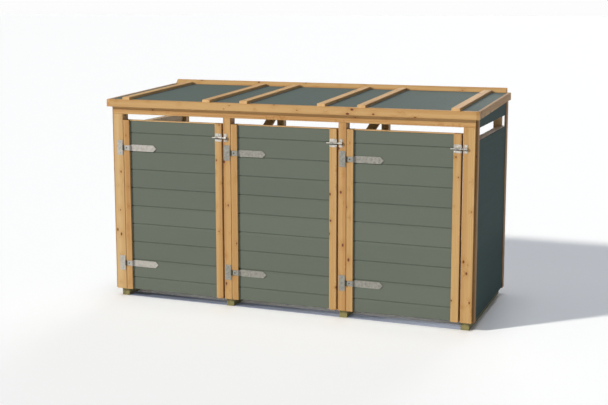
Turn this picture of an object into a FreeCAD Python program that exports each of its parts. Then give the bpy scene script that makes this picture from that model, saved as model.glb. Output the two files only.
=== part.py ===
# Wheelie bin store for three bins: a timber frame on four runners, three grooved-board
# doors on T-hinges with sliding bolts, board sides with a vent, and a lean-to roof.
# X runs along the front from left to right, Y from the front to the rear, and Z up.
# The origin is on the ground, under the middle of the roof.
import FreeCAD, Part
import operator
import os
from types import SimpleNamespace
import Sketcher

# Driving dimensions, in millimetres. Depths are from the posts' front faces.
SIZES = {
    "roof_width": 2200,
    "roof_depth": 872,
    "roof_front": 1181,
    "roof_rise": 0.0419,
    "overhang": 26,
    "sheet_thick": 9,
    "fascia_high": 43,
    "barge_thick": 18,
    "batten_high": 15,
    "batten_inner": 230,
    "batten_middle": 459,
    "batten_outer": 973,
    "kerb_high": 27,
    "kerb_half": 1078,
    "kerb_splay": 27,
    "corner_post": 63,
    "middle_post": 45,
    "post_deep": 63,
    "post_top": 1095,
    "rail": 45,
    "rear_inset": 21,
    "eased_edge": 1.5,
    "runner_high": 47,
    "runner_inset": 18,
    "runner_front": 27,
    "strip_thick": 3,
    "strip_front": 29,
    "strip_wide": 80,
    "vent_foot": 1020,
    "vent_top": 1088,
    "panel_foot": 50,
    "panel_thick": 8,
    "trim_thick": 12,
    "trim_front": 12,
    "trim_wide": 38,
    "rear_trim_wide": 52,
    "brace_foot": 52,
    "brace_top": 1125,
    "brace_cut": 96,
    "brace_thick": 21,
    "door_high": 1013,
    "hinge_gap": 2,
    "bolt_gap": 10,
    "hinge_stile": 38,
    "bolt_stile": 42,
    "door_deep": 45,
    "groove_deep": 10,
    "groove_play": 0.3,
    "board_recess": 11,
    "board_thick": 15,
    "cut_board": 75,
    "whole_boards": 8,
    "board_gap": 0.5,
    "board_bevel": 3.5,
    "tongue_high": 6,
    "tongue_side": 5,
    "lip_high": 4,
    "top_rail_high": 45,
    "ledge_high": 95,
    "door_brace_wide": 70,
    "hinge_low": 205.5,
    "hinge_high": 897,
    "barrel_radius": 5,
    "pin_radius": 2.5,
    "pin_play": 0.05,
    "pin_end": 1,
    "knuckle_high": 7.2,
    "knuckle_play": 0.1,
    "leaf_wide": 41,
    "leaf_high": 88,
    "leaf_thick": 2.5,
    "leaf_edge": 5.5,
    "strap_long": 210,
    "strap_wide": 38,
    "strap_neck": 29,
    "strap_shoulder": 7.5,
    "strap_spread": 30,
    "strap_full": 58,
    "strap_thick": 3.5,
    "strap_bend": 6,
    "bend_lead": 2,
    "bolt_height": 982,
    "plate_wide": 42,
    "plate_high": 45,
    "plate_thick": 2,
    "plate_corner": 6,
    "sleeve_radius": 6,
    "rod_radius": 3.5,
    "rod_play": 0.3,
    "rod_tail": 16,
    "rod_reach": 13,
    "rod_throw": 16,
    "rod_back": 4,
    "rod_bevel": 1.2,
    "knob_radius": 2.75,
    "knob_play": 0.45,
    "knob_out": 10,
    "keeper_gap": 6,
    "keeper_wide": 18,
    "keeper_play": 1,
    "keeper_bend": 3,
}


class Size:
    """A length in millimetres, with the formula that ties it to the sheet."""

    def __init__(self, value, formula=None):
        self.value = float(value)
        self.formula = formula or f"({value:g})"

    def join(self, action, sign, other, swapped=False):
        left, right = self, as_size(other)
        if swapped:
            left, right = right, left
        return Size(action(left.value, right.value), f"({left.formula} {sign} {right.formula})")

    def __add__(self, other):
        return self.join(operator.add, "+", other)

    def __radd__(self, other):
        return self.join(operator.add, "+", other, True)

    def __sub__(self, other):
        return self.join(operator.sub, "-", other)

    def __rsub__(self, other):
        return self.join(operator.sub, "-", other, True)

    def __mul__(self, other):
        return self.join(operator.mul, "*", other)

    def __rmul__(self, other):
        return self.join(operator.mul, "*", other, True)

    def __truediv__(self, other):
        return self.join(operator.truediv, "/", other)

    def __neg__(self):
        return Size(-1) * self


def as_size(value):
    return value if isinstance(value, Size) else Size(value)


doc = FreeCAD.newDocument("wheelie_bin_store")
sheet = doc.addObject("Spreadsheet::Sheet", "Sheet")
for row, (alias, number) in enumerate(SIZES.items(), 1):
    sheet.set(f"A{row}", str(number))
    sheet.setAlias(f"A{row}", alias)
doc.recompute()
size = SimpleNamespace(**{alias: Size(number, f"Sheet.{alias}") for alias, number in SIZES.items()})
nodes = []

# Places that follow from the driving dimensions
FRONT = size.overhang - size.roof_depth / 2
HALF = size.roof_width / 2 - size.overhang
REAR_END = size.roof_depth - size.overhang
REAR = REAR_END - size.rail
BAY = (HALF * 2 - size.corner_post * 2 - size.middle_post * 2) / 3
BAY_STEP = BAY + size.middle_post
FIRST_BAY = size.corner_post - HALF
REAR_TOP = size.roof_front + size.roof_rise * (REAR + size.overhang)
DOOR_WIDE = BAY - size.hinge_gap - size.bolt_gap
ENDS = ("left", "right")
PLANES = {"x": "YZ_Plane", "y": "XZ_Plane", "z": "XY_Plane"}
# Two places nearer than this are the same, and an edge leaning less than this is straight.
SAME = 0.01
STRAIGHT = 0.9


def bind(thing, path, length):
    """Ties a property to the sheet."""
    thing.setExpression(path, as_size(length).formula)


def keep(thing):
    """Marks an object as a finished sub-part, written under its label."""
    nodes.append(thing)
    return thing


def new_body(name, x=0, y=0, z=0):
    """An empty body, placed from the middle, the posts' front faces and the ground."""
    body = doc.addObject("PartDesign::Body", name)
    body.Label = name
    bind(body, "Placement.Base.x", x)
    bind(body, "Placement.Base.y", FRONT + y)
    bind(body, "Placement.Base.z", z)
    return body


def origin_part(body, role):
    return next(item for item in body.Origin.OriginFeatures if item.Role == role)


def new_sketch(body, across, start=0):
    """An empty sketch square to an axis, a given way along it from the body's origin."""
    sketch = body.newObject("Sketcher::SketchObject", body.Label + "_sketch")
    sketch.AttachmentSupport = [(origin_part(body, PLANES[across]), "")]
    sketch.MapMode = "FlatFace"
    along = -as_size(start) if across == "y" else start
    bind(sketch, "AttachmentOffset.Base.z", along)
    return sketch


def tie(sketch, kind, item, point, length):
    """Ties one coordinate of a point in a sketch to the sheet."""
    length = as_size(length)
    rule = Sketcher.Constraint(kind, -1, 1, item, point, length.value)
    bind(sketch, f"Constraints[{sketch.addConstraint(rule)}]", length)


def draw_outline(sketch, corners):
    """A closed outline of straight lines through corners, each tied to the sheet."""
    first = sketch.GeometryCount
    places = [FreeCAD.Vector(as_size(u).value, as_size(v).value) for u, v in corners]
    for start, end in zip(places, places[1:] + places[:1]):
        sketch.addGeometry(Part.LineSegment(start, end), False)
    for step, (u, v) in enumerate(corners):
        line = first + step
        following = first + (step + 1) % len(corners)
        sketch.addConstraint(Sketcher.Constraint("Coincident", line, 2, following, 1))
        tie(sketch, "DistanceX", line, 1, u)
        tie(sketch, "DistanceY", line, 1, v)


def draw_circle(sketch, u, v, radius):
    """A circle tied to the sheet by its centre and radius."""
    centre = FreeCAD.Vector(as_size(u).value, as_size(v).value)
    ring = Part.Circle(centre, FreeCAD.Vector(0, 0, 1), as_size(radius).value)
    item = sketch.addGeometry(ring, False)
    tie(sketch, "DistanceX", item, 3, u)
    tie(sketch, "DistanceY", item, 3, v)
    rule = sketch.addConstraint(Sketcher.Constraint("Radius", item, as_size(radius).value))
    bind(sketch, f"Constraints[{rule}]", radius)


def extrude(sketch, across, length, kind="Pad"):
    """Pads or pockets a sketch along the positive axis that it is square to."""
    body = sketch.getParentGeoFeatureGroup()
    doc.recompute()
    before = 0 if body.Shape.isNull() else body.Shape.Volume
    step = body.newObject("PartDesign::" + kind, f"{body.Label}_{kind.lower()}")
    step.Profile = sketch
    bind(step, "Length", length)
    step.Reversed = (across == "y") == (kind == "Pad")
    doc.recompute()
    gained = body.Shape.Volume - before
    if gained == 0 or (gained > 0) != (kind == "Pad"):
        raise RuntimeError(f"{step.Label} changed nothing")
    return step


def pad_outline(body, across, corners, length, start=0):
    sketch = new_sketch(body, across, start)
    draw_outline(sketch, corners)
    return extrude(sketch, across, length)


def pad_circle(body, across, u, v, radius, length, start=0):
    sketch = new_sketch(body, across, start)
    draw_circle(sketch, u, v, radius)
    return extrude(sketch, across, length)


def bore_through(body, across, u, v, radius, length, start=0):
    sketch = new_sketch(body, across, start)
    draw_circle(sketch, u, v, radius)
    return extrude(sketch, across, length, "Pocket")


def dress_edges(body, kind, length, wanted):
    """Chamfers or fillets the edges of a body that a test picks."""
    base = body.Tip
    names = [f"Edge{place}" for place, edge in enumerate(base.Shape.Edges, 1) if wanted(edge)]
    step = body.newObject("PartDesign::" + kind, f"{body.Label}_{kind.lower()}")
    step.Base = (base, names)
    bind(step, "Size" if kind == "Chamfer" else "Radius", length)
    doc.recompute()
    return step


def ease_long_edges(body, inner_depth=-1):
    """Takes the sharpness off the edges along the grain, but not an inner one at a given depth."""
    longest = max(edge.Length for edge in body.Tip.Shape.Edges)

    def wanted(edge):
        inner = abs(edge.BoundBox.Center.y - inner_depth) < SAME
        return edge.Length > longest / 2 and not inner

    dress_edges(body, "Chamfer", size.eased_edge, wanted)


def pattern_along(body, axis, reach, count, features):
    """Repeats features of a body in a row, and makes the row its result."""
    step = body.newObject("PartDesign::LinearPattern", body.Label + "_row")
    step.Originals = features
    step.Direction = (origin_part(body, axis), [""])
    bind(step, "Length", reach)
    bind(step, "Occurrences", count)
    body.Tip = step
    doc.recompute()


def mirror_across(body, plane, features):
    """Mirrors features of a body in one of its planes, and makes both its result."""
    step = body.newObject("PartDesign::Mirrored", body.Label + "_mirrored")
    step.Originals = features
    step.MirrorPlane = (origin_part(body, plane), [""])
    body.Tip = step
    doc.recompute()


def group(name, pieces):
    """One sub-part of separate solids that are the same or do one job."""
    whole = doc.addObject("Part::Compound", name)
    whole.Label = name
    whole.Links = pieces
    return keep(whole)


def rectangle(wide, high, u=0, v=0):
    return [(u, v), (u + wide, v), (u + wide, v + high), (u, v + high)]


def cut_timber(name, across, outlines, length, x=0, y=0, z=0):
    """Timber of an even section: outlines drawn square to an axis and padded along it."""
    body = new_body(name, x, y, z)
    sketch = new_sketch(body, across)
    for corners in outlines:
        draw_outline(sketch, corners)
    extrude(sketch, across, length)
    ease_long_edges(body)
    return body


def timber(name, *shape):
    """Timber that is a sub-part by itself."""
    return keep(cut_timber(name, *shape))


def roof_top(depth):
    """Height of the roof sheet's top at a depth: it rises to the rear."""
    return size.roof_front + size.roof_rise * (depth + size.overhang)


def sloping_band(start, end, high, below=0):
    """A band along the roof's fall, with plumb ends, its top a way below the sheet's top."""
    return [
        (start, roof_top(start) - below - high),
        (end, roof_top(end) - below - high),
        (end, roof_top(end) - below),
        (start, roof_top(start) - below),
    ]


def level_footed(start, end, foot, below):
    """A piece with a level foot whose top follows the roof."""
    return [
        (start, foot),
        (end, foot),
        (end, roof_top(end) - below),
        (start, roof_top(start) - below),
    ]


def bay_left(bay):
    return FIRST_BAY + BAY_STEP * bay


def outward(side, reach, thick):
    """Left edge of a piece that starts a reach from the middle and goes outwards."""
    return as_size(reach) if side == "right" else -(as_size(reach) + thick)


def make_runners():
    """Four runners along the ground, notched under for the metal strip."""
    long = REAR_END - size.runner_front
    notch = size.strip_front - size.runner_front
    notch_end = notch + size.strip_wide
    side_view = [
        (0, 0),
        (notch, 0),
        (notch, size.strip_thick),
        (notch_end, size.strip_thick),
        (notch_end, 0),
        (long, 0),
        (long, size.runner_high),
        (0, size.runner_high),
    ]
    outer = HALF - size.runner_inset
    places = [-outer, bay_left(1) - size.middle_post, bay_left(2) - size.middle_post, outer - size.rail]
    for number, x in enumerate(places, 1):
        timber(f"runner_{number}", "x", [side_view], size.rail, x, size.runner_front)
    strip = new_body("ground_strip", -outer, size.strip_front)
    pad_outline(strip, "z", rectangle(outer * 2, size.strip_wide), size.strip_thick)
    keep(strip)


def make_posts():
    """Front posts under the header, rear posts under the rear header, and rear braces."""
    high = size.post_top - size.runner_high
    fronts = {
        "corner_post_left": (-HALF, size.corner_post),
        "middle_post_1": (bay_left(1) - size.middle_post, size.middle_post),
        "middle_post_2": (bay_left(2) - size.middle_post, size.middle_post),
        "corner_post_right": (HALF - size.corner_post, size.corner_post),
    }
    for name, (x, wide) in fronts.items():
        timber(name, "z", [rectangle(wide, size.post_deep)], high, x, 0, size.runner_high)
    outer = HALF - size.rear_inset
    rears = [-outer, fronts["middle_post_1"][0], fronts["middle_post_2"][0], outer - size.rail]
    high = REAR_TOP - size.fascia_high - size.runner_high
    for number, x in enumerate(rears, 1):
        timber(f"rear_post_{number}", "z", [rectangle(size.rail, size.rail)], high, x, REAR, size.runner_high)
    braces = []
    for left, right in zip(rears[:2], rears[1:3]):
        braces.append([
            (left + size.rail, size.brace_foot),
            (right, size.brace_top - size.brace_cut),
            (right, size.brace_top),
            (left + size.rail, size.brace_foot + size.brace_cut),
        ])
    timber("rear_braces", "y", braces, size.brace_thick, 0, REAR + (size.rail - size.brace_thick) / 2)


def make_headers():
    """The front header on the posts, the rear header and the splayed kerb on it."""
    front = level_footed(0, size.rail, size.post_top, size.sheet_thick)
    timber("front_header", "x", [front], HALF * 2, -HALF)
    half = size.roof_width / 2
    rear = rectangle(size.rail, size.fascia_high)
    timber("rear_header", "x", [rear], half * 2, -half, REAR, REAR_TOP - size.fascia_high)
    kerb = [(0, 0), (size.rail, 0), (size.rail, size.kerb_high), (size.kerb_splay, size.kerb_high)]
    timber("rear_kerb", "x", [kerb], size.kerb_half * 2, -size.kerb_half, REAR, REAR_TOP)


def make_side_rails():
    """Rails between the posts at both ends, at three levels."""
    # The lower ones run back beside the rear post, and are notched round it.
    end = REAR_END - size.post_deep
    notch = end - size.rail
    feet = {"bottom": size.runner_high, "middle": size.vent_foot - size.rail}
    rails = {"bottom": [], "middle": [], "top": []}
    for side in ENDS:
        x = outward(side, HALF - size.rail, size.rail)
        open_edge = 0 if side == "right" else size.rail
        notched_edge = size.rail - size.rear_inset if side == "right" else size.rear_inset
        closed_edge = size.rail - open_edge
        plan = [
            (open_edge, 0),
            (open_edge, notch),
            (notched_edge, notch),
            (notched_edge, end),
            (closed_edge, end),
            (closed_edge, 0),
        ]
        for level, foot in feet.items():
            name = f"side_{level}_rail_{side}"
            rails[level].append(cut_timber(name, "z", [plan], size.rail, x, size.post_deep, foot))
        top = level_footed(size.rail, REAR, size.post_top, size.sheet_thick)
        rails["top"].append(cut_timber(f"side_top_rail_{side}", "x", [top], size.rail, x))
    for level, pair in rails.items():
        group(f"side_{level}_rails", pair)


def make_side(side):
    """One end of the store: board panels with a vent between them, trims and barge."""
    panel_x = outward(side, HALF, size.panel_thick)
    trim_end = size.trim_front + size.trim_wide
    rear_trim = REAR_END - size.rear_trim_wide
    panel = rectangle(rear_trim - trim_end, size.vent_foot - size.panel_foot, trim_end, size.panel_foot)
    timber(f"side_panel_{side}", "x", [panel], size.panel_thick, panel_x)
    strip = level_footed(trim_end, rear_trim, size.vent_top, size.sheet_thick)
    timber(f"side_strip_{side}", "x", [strip], size.panel_thick, panel_x)
    trims = [
        level_footed(size.trim_front, trim_end, size.runner_high, size.fascia_high),
        level_footed(rear_trim, REAR_END, size.runner_high, size.fascia_high),
    ]
    trims[1][2] = (REAR_END, REAR_TOP - size.fascia_high)
    trim_x = outward(side, HALF, size.trim_thick)
    timber(f"side_trims_{side}", "x", trims, size.trim_thick, trim_x)
    barge_x = outward(side, size.roof_width / 2 - size.barge_thick, size.barge_thick)
    barge = sloping_band(-size.overhang, REAR, size.fascia_high)
    timber(f"barge_{side}", "x", [barge], size.barge_thick, barge_x)


def make_roof():
    """The sheet on its bearers, the fascia in front of it and the battens on top."""
    half = size.roof_width / 2 - size.barge_thick
    fascia = level_footed(-size.overhang, 0, size.roof_front - size.fascia_high, 0)
    timber("fascia", "x", [fascia], half * 2, -half)
    roof = new_body("roof_sheet", -half)
    pad_outline(roof, "x", sloping_band(0, REAR, size.sheet_thick), half * 2)
    keep(roof)
    bearers = new_body("roof_bearers")
    bearer = sloping_band(size.rail, REAR, size.rail, size.sheet_thick)
    right_post = bay_left(2) - size.middle_post
    pad = pad_outline(bearers, "x", bearer, size.rail, right_post)
    mirror_across(bearers, "YZ_Plane", [pad])
    keep(bearers)
    battens = new_body("roof_battens")
    batten = sloping_band(-size.overhang, REAR, size.batten_high, -size.batten_high)
    pads = []
    for centre in (size.batten_inner, size.batten_middle, size.batten_outer):
        pads.append(pad_outline(battens, "x", batten, size.rail, centre - size.rail / 2))
    mirror_across(battens, "YZ_Plane", pads)
    keep(battens)


def make_stiles(door, x):
    """The door's two uprights, each grooved along its inner side for the boards' ends."""
    front = size.board_recess - size.groove_play
    back = size.board_recess + size.board_thick + size.groove_play
    for name, wide, left in (
        ("stile_hinge", size.hinge_stile, as_size(0)),
        ("stile_bolt", size.bolt_stile, DOOR_WIDE - size.bolt_stile),
    ):
        body = new_body(f"door_{door}_{name}", x + left, 0, size.runner_high)
        pad_outline(body, "z", rectangle(wide, size.door_deep), size.door_high)
        ease_long_edges(body)
        groove_x = wide - size.groove_deep if name == "stile_hinge" else as_size(0)
        groove = new_sketch(body, "z")
        draw_outline(groove, rectangle(size.groove_deep, back - front, groove_x, front))
        extrude(groove, "z", size.door_high, "Pocket")
        keep(body)


def board_outline(foot, top, groove, tongue):
    """A matched board seen from its end: bevelled front edges, a tongue up, a groove down."""
    bevel = size.board_bevel
    inner = size.tongue_side
    outer = size.board_thick - size.tongue_side
    play = size.groove_play
    corners = [(0, foot + bevel), (bevel, foot)]
    if groove:
        deep = foot + size.tongue_high + size.board_gap
        corners += [(inner, foot), (inner, deep), (outer, deep), (outer, foot)]
    corners += [(size.board_thick, foot), (size.board_thick, top)]
    if tongue:
        high = top + size.tongue_high
        corners += [(outer - play, top), (outer - play, high), (inner + play, high), (inner + play, top)]
    return corners + [(bevel, top), (0, top - bevel)]


def make_boards(door, x):
    """Ten level boards: a cut one at the foot and at the top, and a row of whole ones."""
    play = size.board_gap
    left = size.hinge_stile - size.groove_deep + play
    wide = DOOR_WIDE - size.hinge_stile - size.bolt_stile + size.groove_deep * 2 - play * 2
    pitch = (size.door_high - size.cut_board * 2) / size.whole_boards
    last_foot = size.door_high - size.cut_board
    last_top = size.door_high - size.lip_high - play
    body = new_body(f"door_{door}_boards", x + left, size.board_recess, size.runner_high)
    pad_outline(body, "x", board_outline(as_size(0), size.cut_board - play, False, True), wide)
    pad_outline(body, "x", board_outline(last_foot, last_top, True, False), wide)
    whole = board_outline(size.cut_board, size.cut_board + pitch - play, True, True)
    pad = pad_outline(body, "x", whole, wide)
    pattern_along(body, "Z_Axis", pitch * (size.whole_boards - 1), size.whole_boards, [pad])
    keep(body)


def make_ledges(door, x):
    """Behind the boards: a top rail that laps over them, two ledges and a brace."""
    wide = DOOR_WIDE - size.hinge_stile - size.bolt_stile
    left = x + size.hinge_stile
    front = size.board_recess + size.board_thick
    thick = size.door_deep - front
    lip_foot = size.door_high - size.lip_high
    top_rail = [
        (front, size.door_high - size.top_rail_high),
        (size.door_deep, size.door_high - size.top_rail_high),
        (size.door_deep, size.door_high),
        (size.board_recess, size.door_high),
        (size.board_recess, lip_foot),
        (front, lip_foot),
    ]
    rail = new_body(f"door_{door}_top_rail", left, 0, size.runner_high)
    pad_outline(rail, "x", top_rail, wide)
    ease_long_edges(rail, front.value)
    pieces = [rail]
    for level, hinge in (("low", size.hinge_low), ("high", size.hinge_high)):
        ledge = new_body(f"door_{door}_ledge_{level}", left, front, hinge - size.ledge_high / 2)
        pad_outline(ledge, "x", rectangle(thick, size.ledge_high), wide)
        ease_long_edges(ledge)
        pieces.append(ledge)
    foot = size.hinge_low + size.ledge_high / 2
    top = size.hinge_high - size.ledge_high / 2
    slant = [(0, foot), (size.door_brace_wide, foot), (wide, top), (wide - size.door_brace_wide, top)]
    brace = new_body(f"door_{door}_brace", left, front)
    pad_outline(brace, "y", slant, thick)
    ease_long_edges(brace)
    keep(brace)
    group(f"door_{door}_ledges", pieces)


def make_strap(name, x, z):
    """The long half of a T-hinge: it bends back off the stile onto the boards behind."""
    body = new_body(name, x, 0, z)
    half = size.strap_wide / 2
    thick = size.strap_thick
    edge = size.hinge_gap / 2 + size.hinge_stile
    front_edge = edge + size.bend_lead
    from_above = [
        (0, -thick),
        (front_edge, -thick),
        (front_edge + size.strap_bend, size.board_recess - thick),
        (size.strap_long, size.board_recess - thick),
        (size.strap_long, size.board_recess),
        (edge + size.strap_bend, size.board_recess),
        (edge, 0),
        (0, 0),
    ]
    pad_outline(body, "z", from_above, size.strap_wide, -half)
    # Everything outside the strap's outline is cut away from the bent bar.
    knuckle = size.knuckle_high - size.knuckle_play * 2
    neck = size.strap_neck / 2
    upper = [
        (-1, knuckle),
        (size.strap_shoulder, knuckle),
        (size.strap_shoulder, neck),
        (size.strap_spread, neck),
        (size.strap_full, half),
        (size.strap_long - half, half),
    ]
    lower = [(u, -as_size(v)) for u, v in reversed(upper)]
    around = rectangle(size.strap_long + size.strap_wide, size.strap_wide * 2, -half, -size.strap_wide)
    waste = new_sketch(body, "y", -thick * 2)
    draw_outline(waste, around)
    draw_outline(waste, upper + [(size.strap_long, 0)] + lower)
    extrude(waste, "y", size.board_recess + thick * 3, "Pocket")
    pad_circle(body, "z", 0, -size.barrel_radius, size.barrel_radius, knuckle * 2, -knuckle)
    bore = size.pin_radius + size.pin_play
    bore_through(body, "z", 0, -size.barrel_radius, bore, size.strap_wide, -half)
    return body


def make_leaf(name, x, z):
    """The short half of a T-hinge: a leaf on the post with a knuckle above and below."""
    body = new_body(name, x, 0, z)
    half = size.leaf_high / 2
    inner = size.knuckle_high - size.knuckle_play
    outer = size.knuckle_high * 2
    edge = -size.leaf_edge
    upper = [(edge, inner), (0, inner), (0, outer), (edge, outer), (edge, half), (-size.leaf_wide, half)]
    lower = [(u, -v) for u, v in reversed(upper)]
    pad_outline(body, "y", lower + upper, size.leaf_thick, -size.leaf_thick)
    dress_edges(body, "Chamfer", size.leaf_thick, lambda edge: is_corner(edge, half))
    pads = [pad_circle(body, "z", 0, -size.barrel_radius, size.barrel_radius, outer - inner, inner)]
    mirror_across(body, "XY_Plane", pads)
    bore = size.pin_radius + size.pin_play
    bore_through(body, "z", 0, -size.barrel_radius, bore, size.leaf_high, -half)
    return body


def is_corner(edge, height):
    """True for an edge through a flat piece at a given height above or below its middle."""
    ends = [vertex.Point for vertex in edge.Vertexes]
    upright = abs(ends[0].y - ends[-1].y) > edge.Length * STRAIGHT
    return upright and all(abs(abs(end.z) - height.value) < SAME for end in ends)


def make_pin(name, x, z):
    """A hinge pin, which stands a little out of the knuckles at each end."""
    body = new_body(name, x, -size.barrel_radius, z)
    tip = size.knuckle_high * 2 + size.pin_end
    pad_circle(body, "z", 0, 0, size.pin_radius, tip * 2, -tip)
    return body


def turn(sketch, axis):
    """Turns a sketch a full circle about one of its own axes."""
    body = sketch.getParentGeoFeatureGroup()
    step = body.newObject("PartDesign::Revolution", body.Label + "_turned")
    step.Profile = sketch
    step.ReferenceAxis = (sketch, [axis])
    step.Angle = 360
    doc.recompute()


def make_hinges(door, left):
    """Two T-hinges: straps on the door, leaves and pins on the post."""
    x = left + size.hinge_gap / 2
    straps = []
    leaves = []
    for level, z in (("low", size.hinge_low), ("high", size.hinge_high)):
        straps.append(make_strap(f"hinge_strap_{door}_{level}", x, z))
        leaves.append(make_leaf(f"hinge_leaf_{door}_{level}", x, z))
        leaves.append(make_pin(f"hinge_pin_{door}_{level}", x, z))
    group(f"hinge_straps_{door}", straps)
    group(f"hinge_leaves_{door}", leaves)


def make_bolt(door, x):
    """A sliding bolt: a plate with a rolled sleeve, and a rod whose knob runs in its slot."""
    plate = new_body(f"bolt_{door}_plate", x, 0, size.bolt_height)
    half = size.plate_high / 2
    face = rectangle(size.plate_wide, size.plate_high, 0, -half)
    pad_outline(plate, "y", face, size.plate_thick, -size.plate_thick)
    dress_edges(plate, "Fillet", size.plate_corner, lambda edge: is_corner(edge, half))
    axis = -size.sleeve_radius
    pad_circle(plate, "x", axis, 0, size.sleeve_radius, size.plate_wide)
    bore_through(plate, "x", axis, 0, size.rod_radius + size.rod_play, size.plate_wide)
    slot_half = size.knob_radius + size.knob_play
    slot_long = size.rod_throw + size.rod_back + slot_half * 2
    slot_left = (size.plate_wide - slot_long) / 2
    slot = new_sketch(plate, "y", -size.sleeve_radius * 3)
    draw_outline(slot, rectangle(slot_long, slot_half * 2, slot_left, -slot_half))
    extrude(slot, "y", size.sleeve_radius * 2, "Pocket")
    keep(plate)

    rod = new_body(f"bolt_{door}_rod", x, axis, size.bolt_height)
    end = size.plate_wide + size.rod_reach
    profile = [
        (-size.rod_tail, 0),
        (-size.rod_tail, size.rod_radius),
        (end - size.rod_bevel, size.rod_radius),
        (end, size.rod_radius - size.rod_bevel),
        (end, 0),
    ]
    sketch = new_sketch(rod, "y")
    draw_outline(sketch, profile)
    turn(sketch, "H_Axis")
    knob_x = slot_left + slot_half + size.rod_back
    pad_circle(rod, "y", knob_x, 0, size.knob_radius, size.knob_out, -size.knob_out)
    front = -size.knob_out.value
    dress_edges(rod, "Chamfer", size.eased_edge / 2, lambda edge: abs(edge.BoundBox.YMax - front) < SAME)
    keep(rod)


def make_keeper(name, x):
    """A strip bent into a loop that the rod slides into."""
    body = new_body(name, x, 0, size.bolt_height)
    thick = size.plate_thick
    half = size.plate_high / 2
    inside = size.rod_radius + size.keeper_play
    deep = -(size.sleeve_radius + inside)
    upper = [
        (deep, inside),
        (0, inside),
        (0, half),
        (-thick, half),
        (-thick, inside + thick),
        (deep - thick, inside + thick),
    ]
    lower = [(u, -as_size(v)) for u, v in reversed(upper)]
    pad_outline(body, "x", upper + lower, size.keeper_wide)
    dress_edges(body, "Fillet", size.keeper_bend, lambda edge: is_bend(edge, (deep - thick).value))
    return body


def is_bend(edge, depth):
    """True for an edge along X at a given depth."""
    ends = [vertex.Point for vertex in edge.Vertexes]
    level = abs(ends[0].x - ends[-1].x) > edge.Length * STRAIGHT
    return level and all(abs(end.y - depth) < SAME for end in ends)


make_runners()
make_posts()
make_headers()
make_side_rails()
for side in ENDS:
    make_side(side)
make_roof()
keepers = []
for door in (1, 2, 3):
    left = bay_left(door - 1)
    make_stiles(door, left + size.hinge_gap)
    make_boards(door, left + size.hinge_gap)
    make_ledges(door, left + size.hinge_gap)
    make_hinges(door, left)
    plate_overhang = size.plate_thick
    plate_left = left + size.hinge_gap + DOOR_WIDE - size.plate_wide + plate_overhang
    make_bolt(door, plate_left)
    keepers.append(make_keeper(f"bolt_keeper_{door}", left + BAY + size.keeper_gap))
group("bolt_keepers", keepers)
doc.recompute()

for item in doc.Objects:
    if "Invalid" in item.State or "Error" in item.State:
        raise RuntimeError(f"{item.Label} failed: {item.State}")
for item in nodes:
    if item.Shape.isNull() or not item.Shape.isValid():
        raise RuntimeError(f"{item.Label} has no valid shape")
os.makedirs("parts", exist_ok=True)
for item in nodes:
    item.Shape.exportStep(f"parts/{item.Label}.step")
    print(f"{item.Label}: {len(item.Shape.Solids)} solids, {item.Shape.Volume / 1000:.1f} cm3")
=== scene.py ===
"""The looks of a timber store for three wheeled bins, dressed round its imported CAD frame."""

import math
import random

import bpy
from mathutils import Euler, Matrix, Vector

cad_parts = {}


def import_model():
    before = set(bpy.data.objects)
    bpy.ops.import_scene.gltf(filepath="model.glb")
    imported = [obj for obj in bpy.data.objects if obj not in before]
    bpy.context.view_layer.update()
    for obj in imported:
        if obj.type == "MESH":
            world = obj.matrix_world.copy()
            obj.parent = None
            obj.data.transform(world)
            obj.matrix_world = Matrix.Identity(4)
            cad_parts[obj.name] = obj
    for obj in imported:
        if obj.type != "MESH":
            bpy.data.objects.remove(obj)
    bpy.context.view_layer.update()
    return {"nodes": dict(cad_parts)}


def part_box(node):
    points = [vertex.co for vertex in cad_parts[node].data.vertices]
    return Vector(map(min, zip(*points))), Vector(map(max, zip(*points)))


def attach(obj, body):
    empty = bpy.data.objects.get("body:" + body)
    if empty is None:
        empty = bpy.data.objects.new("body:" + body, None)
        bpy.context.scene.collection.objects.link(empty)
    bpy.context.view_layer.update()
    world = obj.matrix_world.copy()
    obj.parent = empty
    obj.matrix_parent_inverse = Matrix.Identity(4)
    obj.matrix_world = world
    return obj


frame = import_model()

DOORS = (1, 2, 3)
ENDS = ("left", "right")
RUNNERS = (1, 2, 3, 4)
REAR_POSTS = (1, 2, 3, 4)


# Sizes of the ironmongery in metres, for the screws and the painted shade

HINGE_HEIGHTS = (0.2055, 0.897)
BARREL_RADIUS = 0.005
STRAP_FIRST_SCREW = 0.020  # from the hinge's axis, along the strap
STRAP_OTHER_SCREWS = (0.112, 0.186)
LEAF_WIDTH = 0.0355
LEAF_SCREW_RISE = 0.031  # from the middle of the leaf to its upper and lower screw
BOLT_HEIGHT = 0.982
SLEEVE_UNDERSIDE = BOLT_HEIGHT - 0.0072
PLATE_SCREW_ACROSS = 0.0155
PLATE_SCREW_RISE = 0.0160
KEEPER_WIDTH = 0.018
KEEPER_SCREW_RISE = 0.0150
LEDGE_SCREW_COLUMNS = 4
LEDGE_SCREW_RISE = 0.026
SCREW_REACH = 0.5  # how far a screw's place may be from the face that it is driven into

WOOD_SCREW = {"Head Radius": 0.0042, "Head Rise": 0.0009, "Slot Width": 0.0013}
HINGE_SCREW = {"Head Radius": 0.0044, "Head Rise": 0.0016, "Slot Width": 0.0014}
BOLT_SCREW = {"Head Radius": 0.0030, "Head Rise": 0.0013, "Slot Width": 0.0010}


# Colours: a light and a dark tone for each finish, and single ones for knots, the painted shade on the zinc
# and the floor

def shade(red, green, blue):
    """A display colour, each part 0 to 255, as the linear colour that a shader takes."""
    return tuple(((part / 255 + 0.055) / 1.055) ** 2.4 for part in (red, green, blue)) + (1.0,)


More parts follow.
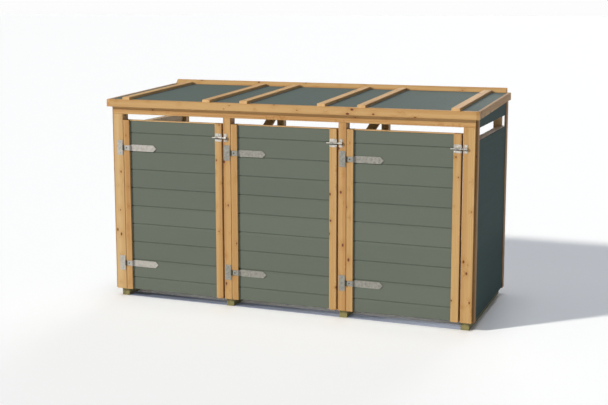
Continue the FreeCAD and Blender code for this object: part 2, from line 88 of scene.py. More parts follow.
HONEY_PINE = shade(184, 152, 104), shade(158, 117, 68)
PINK_PINE = shade(188, 152, 108), shade(161, 117, 72)
PALE_PINE = shade(192, 165, 121), shade(170, 133, 85)
AMBER_PINE = shade(183, 148, 99), shade(155, 112, 64)
# Painted shade: a darker copy of the pine, for the trims at both ends
PAINTED_SHADE_PINE = shade(150, 117, 76), shade(127, 90, 50)
# Pale pine for sawn pieces; on the rear posts and braces it is also painted light, lifting their shade
# under the roof
SAWN_PINE_WITH_PAINTED_LIGHT = shade(212, 180, 134), shade(190, 150, 102)
# Painted light: a paler pine for the middle side rails, whose tops catch light through the vents
PAINTED_LIGHT_PINE = shade(222, 200, 170), shade(200, 174, 142)
# Painted shade: a darker pine for the right barge board, whose outer face lies in shade
PAINTED_HALF_SHADE_PINE = shade(166, 134, 90), shade(141, 104, 60)
BATTEN_PINE = shade(207, 170, 119), shade(180, 140, 93)
TREATED_PINE = shade(136, 130, 88), shade(98, 93, 58)
PINE_KNOT = shade(96, 50, 34)
TREATED_KNOT = shade(84, 66, 36)
DOOR_GREEN = shade(98, 105, 96), shade(91, 97, 89)
# Painted shade: the side panels' green is a darker, bluer copy of the door green, as the shaded sides look
PAINTED_SHADE_SIDE_GREEN = shade(64, 79, 77), shade(59, 74, 73)
ROOF_GREEN = shade(95, 106, 102), shade(87, 98, 95)
# Lighter zinc for the first door's hinges, and darker zinc for the other two
LIGHTER_HINGE_ZINC = shade(174, 171, 165), shade(150, 147, 142)
DARKER_HINGE_ZINC = shade(146, 145, 138), shade(118, 117, 111)
BRIGHT_ZINC = shade(210, 208, 203), shade(146, 142, 134)
# Zinc grey with a painted reflection of blue sky, for the strip on the ground
ZINC_WITH_PAINTED_SKY = shade(152, 163, 186), shade(117, 127, 149)
BLACKENED_STEEL = shade(70, 70, 72), shade(44, 44, 46)
# Painted shade for the zinc, in the hinges' knuckles and under the bolts' sleeves
PAINTED_SHADE = shade(66, 60, 46)
FLOOR_WHITE = shade(248, 250, 253)


# Node trees

SOCKETS = {
    "vector": "NodeSocketVector",
    "value": "NodeSocketFloat",
    "colour": "NodeSocketColor",
    "mesh": "NodeSocketGeometry",
    "object": "NodeSocketObject",
    "material": "NodeSocketMaterial",
    "count": "NodeSocketInt",
}


def new_tree(name, kind, inputs, outputs):
    """An empty node group with named sockets, its input node and its output node."""
    tree = bpy.data.node_groups.new(name, kind)
    for direction, sockets in (("INPUT", inputs), ("OUTPUT", outputs)):
        for socket, form in sockets.items():
            tree.interface.new_socket(name=socket, in_out=direction, socket_type=SOCKETS[form])
    return tree, tree.nodes.new("NodeGroupInput"), tree.nodes.new("NodeGroupOutput")


def add(tree, kind, inputs=None, **settings):
    """A node with its settings made. An input given as a socket is linked, and any other is set."""
    made = tree.nodes.new(kind)
    for name, value in settings.items():
        setattr(made, name, value)
    for socket, value in (inputs or {}).items():
        if isinstance(value, bpy.types.NodeSocket):
            tree.links.new(value, made.inputs[socket])
        else:
            made.inputs[socket].default_value = value
    return made


def put_out(tree, made, results):
    """Each result leaves the group by the output of that name."""
    for name, result in results.items():
        tree.links.new(result, made.inputs[name])


def maths(tree, operation, first, second=0.0):
    """One operation on two numbers, each of them a socket or a plain value."""
    return add(tree, "ShaderNodeMath", {0: first, 1: second}, operation=operation).outputs[0]


def times(tree, first, second):
    return maths(tree, "MULTIPLY", first, second)


def plus(tree, first, second):
    return maths(tree, "ADD", first, second)


def weighed(tree, *masks, clamp=False):
    """The sum of masks, each given with its share. Clamped, it stays between 0 and 1."""
    total = None
    for mask, share in masks:
        part = times(tree, mask, share)
        total = part if total is None else plus(tree, total, part)
    total.node.use_clamp = clamp
    return total


def vector_maths(tree, operation, first, second=(0.0, 0.0, 0.0)):
    """One operation on two vectors, each of them a socket or a plain value."""
    made = add(tree, "ShaderNodeVectorMath", {0: first, 1: second}, operation=operation)
    return made.outputs["Value" if operation == "LENGTH" else "Vector"]


def parts(tree, vector):
    """The three numbers that make up a vector."""
    return add(tree, "ShaderNodeSeparateXYZ", {0: vector}).outputs


def joined(tree, x=0.0, y=0.0, z=0.0):
    """A vector made of three numbers."""
    return add(tree, "ShaderNodeCombineXYZ", {0: x, 1: y, 2: z}).outputs[0]


def blend_colours(tree, factor, first, second):
    """The first colour at factor 0, and the second at 1. The node's colour sockets go by number."""
    made = add(tree, "ShaderNodeMix", {"Factor": factor, 6: first, 7: second}, data_type="RGBA")
    return made.outputs[2]


def fade(tree, value, start, end, low=0.0, high=1.0):
    """A smooth step of the value, from low at start to high at end."""
    made = add(
        tree, "ShaderNodeMapRange",
        {"Value": value, "From Min": start, "From Max": end, "To Min": low, "To Max": high},
        interpolation_type="SMOOTHSTEP",
    )
    return made.outputs["Result"]


def cloud(tree, vector, waves, detail=2.0, roughness=0.5):
    """Noise with about this many waves to the metre along each direction."""
    scaled = vector_maths(tree, "MULTIPLY", vector, waves)
    made = add(tree, "ShaderNodeTexNoise",
               {"Vector": scaled, "Scale": 1.0, "Detail": detail, "Roughness": roughness})
    return made.outputs["Fac"]


def add_object(name, data):
    """A new object in the scene."""
    made = bpy.data.objects.new(name, data)
    bpy.context.scene.collection.objects.link(made)
    return made


# Timber grain: the pith and the fibres run along X, and branches run into the wood along Y

KNOT_LANE = 0.045  # across the wood, from one place for a knot to the next
ALONG_COUNTS = 0.62  # distances from a knot count less along the wood, so it looks longer that way
INWARD_COUNTS = 0.30  # and less still along the branch
KNOTLESS_SHARE = 0.30  # of the places for a knot
LEAST_KNOT = 0.45  # in knot radii, and the largest knot is one more
CORE_REACH = 0.55  # this and the next are in the knot's own radii
SWIRL_REACH = 4.5
SWAY_WAVES = (1.7, 13.0, 13.0)
RING_SWAY = 0.022  # in metres
RING_BEND = 2.2  # how far a knot pushes the rings aside, in ring widths
RING_DARKENS = (0.25, 0.86)  # this and the next are shares of a year's growth
RING_ENDS = (0.90, 1.0)
FIBRE_WAVES = (9.0, 330.0, 330.0)
STREAK_WAVES = (0.55, 34.0, 34.0)
STREAK_EDGE = (0.36, 0.64)
WOOD_ROUGHNESS = 0.44
FIBRE_ROUGHNESS = 0.22
KNOT_POLISH = 0.12


def nearest_knot(tree, place, spacing, knot_radius):
    """Masks for the dark core of the nearest knot and for the wood that swirls round it."""
    x, y, z = parts(tree, place)
    cell = joined(tree, maths(tree, "DIVIDE", x, spacing), maths(tree, "DIVIDE", y, KNOT_LANE),
                  maths(tree, "DIVIDE", z, KNOT_LANE))
    knots = add(tree, "ShaderNodeTexVoronoi", {"Vector": cell, "Scale": 1.0}).outputs
    x, y, z = parts(tree, vector_maths(tree, "SUBTRACT", cell, knots["Position"]))
    distance = vector_maths(tree, "LENGTH", joined(
        tree,
        times(tree, times(tree, x, spacing), ALONG_COUNTS),
        times(tree, y, KNOT_LANE * INWARD_COUNTS),
        times(tree, z, KNOT_LANE),
    ))
    chance = add(tree, "ShaderNodeSeparateColor", {0: knots["Color"]}).outputs
    shown = maths(tree, "GREATER_THAN", chance[0], KNOTLESS_SHARE)
    radius = times(tree, knot_radius, plus(tree, chance[1], LEAST_KNOT))
    core = fade(tree, distance, times(tree, radius, CORE_REACH), radius, 1.0, 0.0)
    swirl = fade(tree, distance, 0.0, times(tree, radius, SWIRL_REACH), 1.0, 0.0)
    return times(tree, core, shown), times(tree, swirl, shown)


def late_wood(tree, place, ring_width, swirl):
    """A mask for the dark part of each growth ring. The rings sway, and bend round the knots."""
    from_pith = vector_maths(tree, "LENGTH", vector_maths(tree, "MULTIPLY", place, (0.0, 1.0, 1.0)))
    sway = times(tree, cloud(tree, place, SWAY_WAVES), RING_SWAY)
    bend = times(tree, times(tree, swirl, ring_width), RING_BEND)
    grown = plus(tree, plus(tree, from_pith, sway), bend)
    year = maths(tree, "FRACT", maths(tree, "DIVIDE", grown, ring_width))
    return times(tree, fade(tree, year, *RING_DARKENS), fade(tree, year, *RING_ENDS, 1.0, 0.0))


def make_timber_grain():
    """Growth rings round the pith, with fibres, slow changes of tone and knots."""
    tree, given, made = new_tree(
        "timber grain", "ShaderNodeTree",
        {"Vector": "vector", "Light Wood": "colour", "Dark Wood": "colour", "Knot Wood": "colour",
         "Ring Width": "value", "Knot Spacing": "value", "Knot Radius": "value"},
        {"Color": "colour", "Height": "value", "Roughness": "value"},
    )
    place = given.outputs["Vector"]
    core, swirl = nearest_knot(tree, place, given.outputs["Knot Spacing"], given.outputs["Knot Radius"])
    late = late_wood(tree, place, given.outputs["Ring Width"], swirl)
    fibre = cloud(tree, place, FIBRE_WAVES, detail=3.0, roughness=0.6)
    streak = fade(tree, cloud(tree, place, STREAK_WAVES, detail=1.0), *STREAK_EDGE)
    dark = weighed(tree, (late, 0.38), (streak, 0.42), (fibre, 0.34), (swirl, 0.30), clamp=True)
    wood = blend_colours(tree, dark, given.outputs["Light Wood"], given.outputs["Dark Wood"])
    rough = plus(tree, times(tree, fibre, FIBRE_ROUGHNESS), WOOD_ROUGHNESS)
    put_out(tree, made, {
        "Color": blend_colours(tree, core, wood, given.outputs["Knot Wood"]),
        "Height": weighed(tree, (late, 0.4), (fibre, 0.6)),
        "Roughness": maths(tree, "SUBTRACT", rough, times(tree, core, KNOT_POLISH)),
    })
    return tree


# Long streaks along X, as a brush leaves them in paint and rolling leaves them in sheet metal

BRUSH_WAVES = (5.0, 240.0, 240.0)
DRIFT_WAVES = (2.2, 6.0, 6.0)
PAINT_ROUGHNESS = 0.40
BRUSH_ROUGHNESS = 0.18


def make_long_streaks():
    """Streaks and slow changes between two tones, with a tone of its own for each row of boards."""
    tree, given, made = new_tree(
        "long streaks", "ShaderNodeTree",
        {"Vector": "vector", "Light Tone": "colour", "Dark Tone": "colour", "Board Height": "value"},
        {"Color": "colour", "Height": "value", "Roughness": "value"},
    )
    place = given.outputs["Vector"]
    height = parts(tree, place)[2]
    row = maths(tree, "FLOOR", maths(tree, "DIVIDE", height, given.outputs["Board Height"]))
    board_tone = add(tree, "ShaderNodeTexWhiteNoise", {"W": row}, noise_dimensions="1D").outputs[0]
    brush = cloud(tree, place, BRUSH_WAVES, detail=3.0, roughness=0.6)
    drift = cloud(tree, place, DRIFT_WAVES)
    dark = weighed(tree, (board_tone, 0.35), (brush, 0.35), (drift, 0.35), clamp=True)
    put_out(tree, made, {
        "Color": blend_colours(tree, dark, given.outputs["Light Tone"], given.outputs["Dark Tone"]),
        "Height": brush,
        "Roughness": plus(tree, times(tree, brush, BRUSH_ROUGHNESS), PAINT_ROUGHNESS),
    })
    return tree


# Zinc spangle: the flat crystals in which molten zinc sets

SMEAR_WAVES = (60.0, 60.0, 60.0)
SMEAR_EDGE = (0.35, 0.7)
SCRATCH_WAVES = (900.0, 900.0, 70.0)
SHADE_CORE = 0.8  # of the painted shade's reach from its line
ZINC_ROUGHNESS = 0.33
DULL_ROUGHNESS = 0.25


def make_zinc_spangle():
    """Zinc in flat crystals, smeared and scratched, with painted shade about even lines across X."""
    tree, given, made = new_tree(
        "zinc spangle", "ShaderNodeTree",
        {"Vector": "vector", "Light Zinc": "colour", "Dark Zinc": "colour", "Crystal Size": "value",
         "Painted Shade": "colour", "Painted Shade Line": "value", "Line Step": "value", "Line Reach": "value"},
        {"Color": "colour", "Height": "value", "Roughness": "value"},
    )
    place = given.outputs["Vector"]
    size = given.outputs["Crystal Size"]
    grid = vector_maths(tree, "DIVIDE", place, joined(tree, size, size, size))
    crystals = add(tree, "ShaderNodeTexVoronoi", {"Vector": grid, "Scale": 1.0}).outputs["Color"]
    crystal = add(tree, "ShaderNodeSeparateColor", {0: crystals}).outputs[0]
    smear = fade(tree, cloud(tree, place, SMEAR_WAVES, detail=3.0), *SMEAR_EDGE)
    scratch = cloud(tree, place, SCRATCH_WAVES)
    dull = weighed(tree, (crystal, 0.5), (smear, 0.5))
    metal = blend_colours(tree, dull, given.outputs["Light Zinc"], given.outputs["Dark Zinc"])

    # Painted shade about even lines across X: full within the core of its reach, and gone at the reach
    from_line = maths(tree, "SUBTRACT", parts(tree, place)[0], given.outputs["Painted Shade Line"])
    off_line = maths(tree, "PINGPONG", from_line, times(tree, given.outputs["Line Step"], 0.5))
    reach = given.outputs["Line Reach"]
    painted_shade = fade(tree, off_line, times(tree, reach, SHADE_CORE), reach, 1.0, 0.0)
    put_out(tree, made, {
        "Color": blend_colours(tree, painted_shade, metal, given.outputs["Painted Shade"]),
        "Height": weighed(tree, (crystal, 0.5), (scratch, 0.5)),
        "Roughness": plus(tree, times(tree, dull, DULL_ROUGHNESS), ZINC_ROUGHNESS),
    })
    return tree


TIMBER_GRAIN = make_timber_grain()
LONG_STREAKS = make_long_streaks()
ZINC_SPANGLE = make_zinc_spangle()


# Materials

TURNS = {
    "x": (0.0, 0.0, 0.0),
    "y": (0.0, 0.0, -math.pi / 2),
    "z": (0.0, math.pi / 2, 0.0),
}
PLANED_RELIEF = 0.0003  # how deep the surface looks, in metres
TREATED_RELIEF = 0.0006
STREAK_RELIEF = 0.0002
ZINC_RELIEF = 0.0001


def finish(name, effect, inputs, turn, relief, place=(0.0, 0.0, 0.0), shader=None):
    """A material whose colour, roughness and relief come from one of the shared effects."""
    material = bpy.data.materials.new(name)
    material.use_nodes = True
    tree = material.node_tree
    tree.nodes.clear()
    where = add(tree, "ShaderNodeTexCoord").outputs["Object"]
    turned = add(tree, "ShaderNodeMapping", {"Vector": where, "Rotation": turn, "Location": place})
    look = add(tree, "ShaderNodeGroup", node_tree=effect)
    tree.links.new(turned.outputs[0], look.inputs["Vector"])
    for socket, value in inputs.items():
        look.inputs[socket].default_value = value
    bumps = add(tree, "ShaderNodeBump", {"Height": look.outputs["Height"], "Distance": relief})
    skin = add(tree, "ShaderNodeBsdfPrincipled", {
        "Base Color": look.outputs["Color"],
        "Roughness": look.outputs["Roughness"],
        "Normal": bumps.outputs[0],
        **(shader or {}),
    })
    add(tree, "ShaderNodeOutputMaterial", {"Surface": skin.outputs[0]}, is_active_output=True)
    return material


def wear(node, material):
    """The CAD piece shows this material."""
    mesh = frame["nodes"][node].data
    mesh.materials.clear()
    mesh.materials.append(material)


# Timber

CUT_ALONG = (-9.0, 9.0)  # where a piece lies in its log: these three are ranges in metres
CUT_BEHIND_PITH = (0.012, 0.05)
CUT_ABOVE_PITH = (0.02, 0.06)
RING_WIDTHS = (0.0055, 0.0080)
KNOT_RADIUS = 0.0055
KNOT_SPACING = 0.14  # along the wood, from one place for a knot to the next
BATTEN_KNOT_SPACING = 0.42
WOOD_GLOSS = 0.2
DOOR_BRACE_LEAN = 38.8  # degrees out of upright
REAR_BRACE_LEAN = 33.4


def timber(name, node, turn, tones, knot=PINE_KNOT, spacing=KNOT_SPACING, relief=PLANED_RELIEF):
    """Wood for one CAD piece, cut from a place of its own in the log, with the grain along it."""
    draw = random.Random(node)
    low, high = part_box(node)
    middle = Euler(turn).to_matrix() @ ((low + high) / 2)
    log_place = Vector([draw.uniform(*reach) for reach in (CUT_ALONG, CUT_BEHIND_PITH, CUT_ABOVE_PITH)])
    light, dark = tones
    return finish(
        name, TIMBER_GRAIN,
        {"Light Wood": light, "Dark Wood": dark, "Knot Wood": knot,
         "Ring Width": draw.uniform(*RING_WIDTHS), "Knot Spacing": spacing,
         "Knot Radius": KNOT_RADIUS},
        turn, relief, log_place - middle, {"Specular IOR Level": WOOD_GLOSS},
    )


def leaning(degrees):
    """The turn for wood whose grain rises to the right, this much out of upright."""
    return 0.0, math.radians(90.0 + degrees), 0.0


PLANED_ALONG = {
    "x": ["front_header", "fascia", "rear_header", "rear_kerb", "roof_bearers"],
    "y": ["barge_left", "barge_right", "side_bottom_rails", "side_middle_rails", "side_top_rails"],
    "z": ["corner_post_left", "corner_post_right", "middle_post_1", "middle_post_2",
          "side_trims_left", "side_trims_right"]
    + [f"rear_post_{number}" for number in REAR_POSTS]
    + [f"door_{door}_stile_{side}" for door in DOORS for side in ("hinge", "bolt")],
}

OTHER_TONES = {
    PALE_PINE: ["corner_post_left"],
    PINK_PINE: ["barge_left"],
    # painted shade on the right barge board
    PAINTED_HALF_SHADE_PINE: ["barge_right"],
    # painted light on the middle side rails
    PAINTED_LIGHT_PINE: ["side_middle_rails"],
    AMBER_PINE: ["door_1_stile_hinge", "front_header", "middle_post_1", "middle_post_2"],
    # painted shade on the end trims
    PAINTED_SHADE_PINE: ["side_trims_left", "side_trims_right"],
    # the pale sawn tone, on the rear posts also painted light
    SAWN_PINE_WITH_PAINTED_LIGHT: ["side_bottom_rails", "side_top_rails"]
    + [f"rear_post_{number}" for number in REAR_POSTS],
}
TONES = {node: tones for tones, nodes in OTHER_TONES.items() for node in nodes}

for along, nodes in PLANED_ALONG.items():
    for node in nodes:
        wear(node, timber(f"planed_{node}", node, TURNS[along], TONES.get(node, HONEY_PINE)))
for door in DOORS:
    ledges = f"door_{door}_ledges"
    brace = f"door_{door}_brace"
    wear(ledges, timber(f"planed_{ledges}", ledges, TURNS["x"], SAWN_PINE_WITH_PAINTED_LIGHT))
    wear(brace, timber(f"planed_{brace}", brace, leaning(DOOR_BRACE_LEAN), PINK_PINE))
# The pale tone of the rear braces is partly painted light, lifting their shade under the roof
wear("rear_braces", timber("planed_rear_braces", "rear_braces", leaning(REAR_BRACE_LEAN), SAWN_PINE_WITH_PAINTED_LIGHT))
wear("roof_battens", timber("planed_roof_battens", "roof_battens", TURNS["y"], BATTEN_PINE,
                            spacing=BATTEN_KNOT_SPACING))
for number in RUNNERS:
    runner = f"runner_{number}"
    wear(runner, timber(f"treated_{runner}", runner, TURNS["y"], TREATED_PINE,
                        knot=TREATED_KNOT, relief=TREATED_RELIEF))


# Paint, and the rolled metal of the strip on the ground

BOARD_HEIGHT = 0.108
UNBROKEN = 1.0  # in place of a board's height, on a piece with no boards
PAINT_IOR = 1.05  # so low that the paint hardly shines
STRIP_METALLIC = 0.25


def streaked(name, tones, board_height, along, shader):
    """Two tones in long streaks along the piece."""
    light, dark = tones
    return finish(
        name, LONG_STREAKS,
        {"Light Tone": light, "Dark Tone": dark, "Board Height": board_height},
        TURNS[along], STREAK_RELIEF, shader=shader,
    )


DOOR_PAINT = streaked("door_green_paint", DOOR_GREEN, BOARD_HEIGHT, "x", {"IOR": PAINT_IOR})
# Painted shade: the side boards' paint is darker and bluer than the doors', as they look in shade
PAINTED_SHADE_SIDE_PAINT = streaked("side_green_paint_with_painted_shade", PAINTED_SHADE_SIDE_GREEN, BOARD_HEIGHT, "y", {"IOR": PAINT_IOR})
ROOF_PAINT = streaked("roof_green_paint", ROOF_GREEN, UNBROKEN, "y", {"IOR": PAINT_IOR})
# The strip's blue tint is a painted reflection of the sky on the zinc's own grey
STRIP_METAL = streaked("rolled_zinc_strip", ZINC_WITH_PAINTED_SKY, UNBROKEN, "x", {"Metallic": STRIP_METALLIC})

for door in DOORS:
    wear(f"door_{door}_boards", DOOR_PAINT)
for end in ENDS:
    wear(f"side_panel_{end}", PAINTED_SHADE_SIDE_PAINT)
    wear(f"side_strip_{end}", PAINTED_SHADE_SIDE_PAINT)
wear("roof_sheet", ROOF_PAINT)
wear("ground_strip", STRIP_METAL)


# Zinc on the hinges, the bolts and the screws

HINGE_CRYSTAL = 0.009
HINGE_METALLIC = 0.35
BOLT_CRYSTAL = 0.006
BOLT_METALLIC = 0.7
SCREW_CRYSTAL = 0.003
SCREW_METALLIC = 0.3
KNUCKLE_SHADE = BARREL_RADIUS * 1.1  # how far the painted shade in the hinges' knuckles reaches from a pin's axis
# How far the painted shadow under each bolt's sleeve reaches from its line
SLEEVE_SHADE = 0.0030


def zinc(name, tones, crystal, metallic, turn="x", line=0.0, step=1.0, reach=0.0):
    """Zinc with painted shade about even lines across the turned X, or with none where the reach is 0."""
    light, dark = tones
    return finish(
        name, ZINC_SPANGLE,
        {"Light Zinc": light, "Dark Zinc": dark, "Crystal Size": crystal, "Painted Shade": PAINTED_SHADE,
         "Painted Shade Line": line, "Line Step": step, "Line Reach": reach},
        TURNS[turn], ZINC_RELIEF, shader={"Metallic": metallic},
    )


FIRST_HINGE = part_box("hinge_straps_1")[0].x + BARREL_RADIUS
DOOR_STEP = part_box("hinge_straps_2")[0].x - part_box("hinge_straps_1")[0].x
# Painted shade along each hinge's axis, darkening its knuckles
ON_KNUCKLES = {"line": FIRST_HINGE, "step": DOOR_STEP, "reach": KNUCKLE_SHADE}
# Painted shadow in a line under each bolt's sleeve
UNDER_SLEEVES = {"turn": "z", "line": SLEEVE_UNDERSIDE, "reach": SLEEVE_SHADE}

LIGHTER_HINGE = zinc("galvanised_hinge", LIGHTER_HINGE_ZINC, HINGE_CRYSTAL, HINGE_METALLIC, **ON_KNUCKLES)
DARKER_HINGE = zinc("darker_galvanised_hinge", DARKER_HINGE_ZINC, HINGE_CRYSTAL, HINGE_METALLIC, **ON_KNUCKLES)
HINGE_METAL = {1: LIGHTER_HINGE, 2: DARKER_HINGE, 3: DARKER_HINGE}
BOLT_METAL = zinc("bright_zinc_bolt", BRIGHT_ZINC, BOLT_CRYSTAL, BOLT_METALLIC, **UNDER_SLEEVES)
DARK_SCREW = zinc("blackened_screw", BLACKENED_STEEL, SCREW_CRYSTAL, SCREW_METALLIC)

for door in DOORS:
    wear(f"hinge_straps_{door}", HINGE_METAL[door])
    wear(f"hinge_leaves_{door}", HINGE_METAL[door])
    wear(f"bolt_{door}_plate", BOLT_METAL)
    wear(f"bolt_{door}_rod", BOLT_METAL)
wear("bolt_keepers", BOLT_METAL)


# Screws, driven by Geometry Nodes into the face that lies behind each place

HEAD_SEGMENTS = 20
HEAD_RINGS = 10
CROSS_ARM = 1.15  # from end to end of the cross, in head radii
CROSS_LIFT = 0.85  # the height of the cut's middle, as a share of the head's rise
FORWARD = (0.0, -1.0, 0.0)
BACKWARD = (0.0, 1.0, 0.0)


def screw_head(tree, radius, rise, slot):
    """A low dome with a cross cut into it."""
    ball = add(tree, "GeometryNodeMeshUVSphere",
               {"Segments": HEAD_SEGMENTS, "Rings": HEAD_RINGS, "Radius": radius})
    flat = joined(tree, 1.0, 1.0, maths(tree, "DIVIDE", rise, radius))
    dome = add(tree, "GeometryNodeTransform", {"Geometry": ball.outputs[0], "Scale": flat})
    arm = times(tree, radius, CROSS_ARM)
    lift = joined(tree, z=times(tree, rise, CROSS_LIFT))
    head = add(tree, "GeometryNodeMeshBoolean", {"Mesh 1": dome.outputs[0]}, operation="DIFFERENCE")
    for wide, deep in ((arm, slot), (slot, arm)):
        bar = add(tree, "GeometryNodeMeshCube", {"Size": joined(tree, wide, deep, rise)})
        raised = add(tree, "GeometryNodeTransform", {"Geometry": bar.outputs[0], "Translation": lift})
        tree.links.new(raised.outputs[0], head.inputs["Mesh 2"])
    return head.outputs[0]


def seated(tree, places, carrier, facing):
    """The places, each slid back against the facing until it meets the carrier."""
    target = add(tree, "GeometryNodeObjectInfo", {"Object": carrier})
    met = add(tree, "GeometryNodeRaycast", {
        "Target Geometry": target.outputs["Geometry"],
        "Ray Direction": vector_maths(tree, "MULTIPLY", facing, (-1.0, -1.0, -1.0)),
        "Ray Length": SCREW_REACH,
    })
    moved = add(tree, "GeometryNodeSetPosition", {
        "Geometry": places,
        "Selection": met.outputs["Is Hit"],
        "Position": met.outputs["Hit Position"],
    })
    return moved.outputs[0]


def stopped_anywhere(tree, facing, seed):
    """The turn of each screw: it looks along the facing, and its cross stopped at any angle."""
    spin = add(tree, "FunctionNodeRandomValue", {"Min": 0.0, "Max": math.pi, "Seed": seed},
               data_type="FLOAT")
    about = add(tree, "FunctionNodeEulerToRotation", {0: joined(tree, z=spin.outputs[1])})
    upright = add(tree, "FunctionNodeAlignRotationToVector", {"Vector": facing}, axis="Z")
    turned = add(tree, "FunctionNodeRotateRotation",
                 {"Rotation": upright.outputs[0], "Rotate By": about.outputs[0]},
                 rotation_space="LOCAL")
    return turned.outputs[0]


def make_driven_screws():
    """A screw head for each place, seated on the carrier."""
    tree, given, made = new_tree(
        "driven screws", "GeometryNodeTree",
        {"Places": "mesh", "Carrier": "object", "Facing": "vector", "Head Radius": "value",
         "Head Rise": "value", "Slot Width": "value", "Steel": "material", "Seed": "count"},
        {"Screws": "mesh"},
    )
    takes = given.outputs
    placed = add(tree, "GeometryNodeInstanceOnPoints", {
        "Points": seated(tree, takes["Places"], takes["Carrier"], takes["Facing"]),
        "Instance": screw_head(tree, takes["Head Radius"], takes["Head Rise"], takes["Slot Width"]),
        "Rotation": stopped_anywhere(tree, takes["Facing"], takes["Seed"]),
    })
    plain = add(tree, "GeometryNodeRealizeInstances", {"Geometry": placed.outputs[0]})
    coated = add(tree, "GeometryNodeSetMaterial",
                 {"Geometry": plain.outputs[0], "Material": takes["Steel"]})
    put_out(tree, made, {"Screws": coated.outputs[0]})
    return tree


DRIVEN_SCREWS = make_driven_screws()


def drive_screws(name, body, carrier, places, facing, sizes, steel, seed):
    """Screws at these places, on the carrier's outermost face, as one plain mesh that rides on the body."""
    start = bpy.data.meshes.new(f"{name}_places")
    start.from_pydata(places, [], [])
    maker = add_object(f"{name}_maker", start)
    modifier = maker.modifiers.new("screws", "NODES")
    modifier.node_group = DRIVEN_SCREWS
    given = {"Carrier": frame["nodes"][carrier], "Facing": facing, "Steel": steel, "Seed": seed, **sizes}
    for item in DRIVEN_SCREWS.interface.items_tree:
        if item.in_out == "INPUT" and item.name in given:
            modifier[item.identifier] = given[item.name]
    bpy.context.view_layer.update()
    evaluated = maker.evaluated_get(bpy.context.evaluated_depsgraph_get())
    mesh = bpy.data.meshes.new_from_object(evaluated)
    mesh.name = name
    bpy.data.objects.remove(maker)
    screws = add_object(name, mesh)
    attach(screws, body)


def grid(across, depth, heights):
    """A place for each combination of the ways across and the heights, all at one depth."""
    return [(x, depth, z) for z in heights for x in across]


def both_ways(middles, rise):
    """A value below and a value above each of the middles."""
    return [middle + way for middle in middles for way in (-rise, rise)]


def before(node):
    """A depth in front of the piece, from which a place slides back onto it."""
    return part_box(node)[0].y - SCREW_REACH / 2


def screw_hinges(door):
    """Three screws in each strap, the first of them blackened, and three in each leaf."""
    straps, leaves, body = f"hinge_straps_{door}", f"hinge_leaves_{door}", f"door_{door}"
    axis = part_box(straps)[0].x + BARREL_RADIUS
    leaf_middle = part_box(leaves)[0].x + LEAF_WIDTH / 2
    leaf_heights = [*HINGE_HEIGHTS, *both_ways(HINGE_HEIGHTS, LEAF_SCREW_RISE)]
    depth = before(straps)
    drive_screws(f"strap_first_screws_{door}", body, straps,
                 grid([axis + STRAP_FIRST_SCREW], depth, HINGE_HEIGHTS),
                 FORWARD, HINGE_SCREW, DARK_SCREW, door)
    drive_screws(f"strap_screws_{door}", body, straps,
                 grid([axis + along for along in STRAP_OTHER_SCREWS], depth, HINGE_HEIGHTS),
                 FORWARD, HINGE_SCREW, HINGE_METAL[door], door)
    drive_screws(f"leaf_screws_{door}", "frame", leaves,
                 grid([leaf_middle], depth, leaf_heights),
                 FORWARD, HINGE_SCREW, HINGE_METAL[door], door)


def screw_bolt(door):
    """A screw at each corner of the bolt's plate."""
    plate = f"bolt_{door}_plate"
    low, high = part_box(plate)
    corners = grid(both_ways([(low.x + high.x) / 2], PLATE_SCREW_ACROSS), before(plate),
                   both_ways([BOLT_HEIGHT], PLATE_SCREW_RISE))
    drive_screws(f"bolt_screws_{door}", f"door_{door}", plate, corners,
                 FORWARD, BOLT_SCREW, BOLT_METAL, door)


def screw_ledges(door):
    """Pairs of screws along both ledges, driven from behind."""
    ledges = f"door_{door}_ledges"
    low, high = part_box(ledges)
    step = (high.x - low.x) / (LEDGE_SCREW_COLUMNS + 1)
    columns = [low.x + step * (column + 1) for column in range(LEDGE_SCREW_COLUMNS)]
    drive_screws(f"ledge_screws_{door}", f"door_{door}", ledges,
                 grid(columns, high.y + SCREW_REACH / 2, both_ways(HINGE_HEIGHTS, LEDGE_SCREW_RISE)),
                 BACKWARD, WOOD_SCREW, BOLT_METAL, door)


def screw_keepers():
    """Two screws in each of the three keepers."""
    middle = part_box("bolt_keepers")[0].x + KEEPER_WIDTH / 2
    places = grid([middle + DOOR_STEP * (door - 1) for door in DOORS], before("bolt_keepers"),
                  both_ways([BOLT_HEIGHT], KEEPER_SCREW_RISE))
    drive_screws("keeper_screws", "frame", "bolt_keepers", places,
                 FORWARD, BOLT_SCREW, BOLT_METAL, 1)


for door in DOORS:
    screw_hinges(door)
    screw_bolt(door)
    screw_ledges(door)
screw_keepers()


# Floor

FLOOR_REACH = 150.0
FLOOR_ROUGHNESS = 0.9


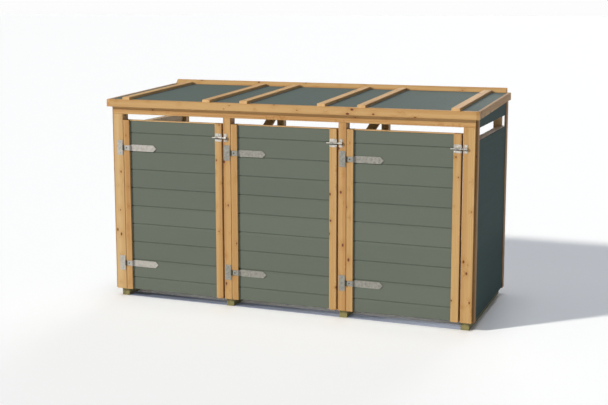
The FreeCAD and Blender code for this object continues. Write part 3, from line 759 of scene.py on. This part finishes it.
def lay_floor():
    """A wide, matt white floor, level with the undersides of the runners."""
    mesh = bpy.data.meshes.new("studio_floor")
    corners = [(x * FLOOR_REACH, y * FLOOR_REACH, 0.0) for x, y in ((-1, -1), (1, -1), (1, 1), (-1, 1))]
    mesh.from_pydata(corners, [], [(0, 1, 2, 3)])
    white = bpy.data.materials.new("studio_floor_white")
    white.use_nodes = True
    skin = white.node_tree.nodes["Principled BSDF"]
    skin.inputs["Base Color"].default_value = FLOOR_WHITE
    skin.inputs["Roughness"].default_value = FLOOR_ROUGHNESS
    mesh.materials.append(white)
    add_object("studio_floor", mesh)


lay_floor()


# Light

WARM = (1.0, 0.95, 0.86)
COOL = (0.96, 0.98, 1.0)
HORIZON_COLOUR = (0.98, 0.98, 0.98, 1.0)
ZENITH_COLOUR = (0.10, 0.11, 0.13, 1.0)
HORIZON_FADE = (0.05, 0.32)


def distant_lamp(name, left, above, strength, spread, colour):
    """A large, far lamp: left of the store's front and above the ground, both as angles in degrees."""
    lamp = bpy.data.lights.new(name, "SUN")
    lamp.energy = strength
    lamp.angle = math.radians(spread)
    lamp.color = colour
    made = add_object(name, lamp)
    made.rotation_euler = (math.radians(90.0 - above), 0.0, -math.radians(left))


def fill_air():
    """Light from all round, bright at the horizon and dark overhead."""
    world = bpy.data.worlds.new("studio_air")
    bpy.context.scene.world = world
    world.use_nodes = True
    tree = world.node_tree
    direction = add(tree, "ShaderNodeTexCoord").outputs["Generated"]
    overhead = fade(tree, parts(tree, direction)[2], *HORIZON_FADE)
    colour = blend_colours(tree, overhead, HORIZON_COLOUR, ZENITH_COLOUR)
    tree.links.new(colour, tree.nodes["Background"].inputs["Color"])


distant_lamp("key_lamp", left=48.0, above=27.0, strength=3.80, spread=4.0, colour=WARM)
distant_lamp("top_lamp", left=0.0, above=90.0, strength=0.88, spread=25.0, colour=COOL)
distant_lamp("rear_lamp", left=180.0, above=22.0, strength=0.80, spread=30.0, colour=COOL)
fill_air()
bpy.context.scene.view_settings.view_transform = "Standard"  # so that the floor stays white


# Camera

CAMERA_PLACE = (2.2576, -5.9820, 1.7326)
CAMERA_TURN = 20.49
CAMERA_DIP = 8.449
CAMERA_LENS = 64.82
CAMERA_SHIFT = (-0.01488, -0.06)

camera = add_object("camera", bpy.data.cameras.new("camera"))
camera.location = CAMERA_PLACE
camera.rotation_euler = (math.radians(90.0 - CAMERA_DIP), 0.0, math.radians(CAMERA_TURN))
camera.data.lens = CAMERA_LENS
camera.data.shift_x, camera.data.shift_y = CAMERA_SHIFT
bpy.context.scene.camera = camera
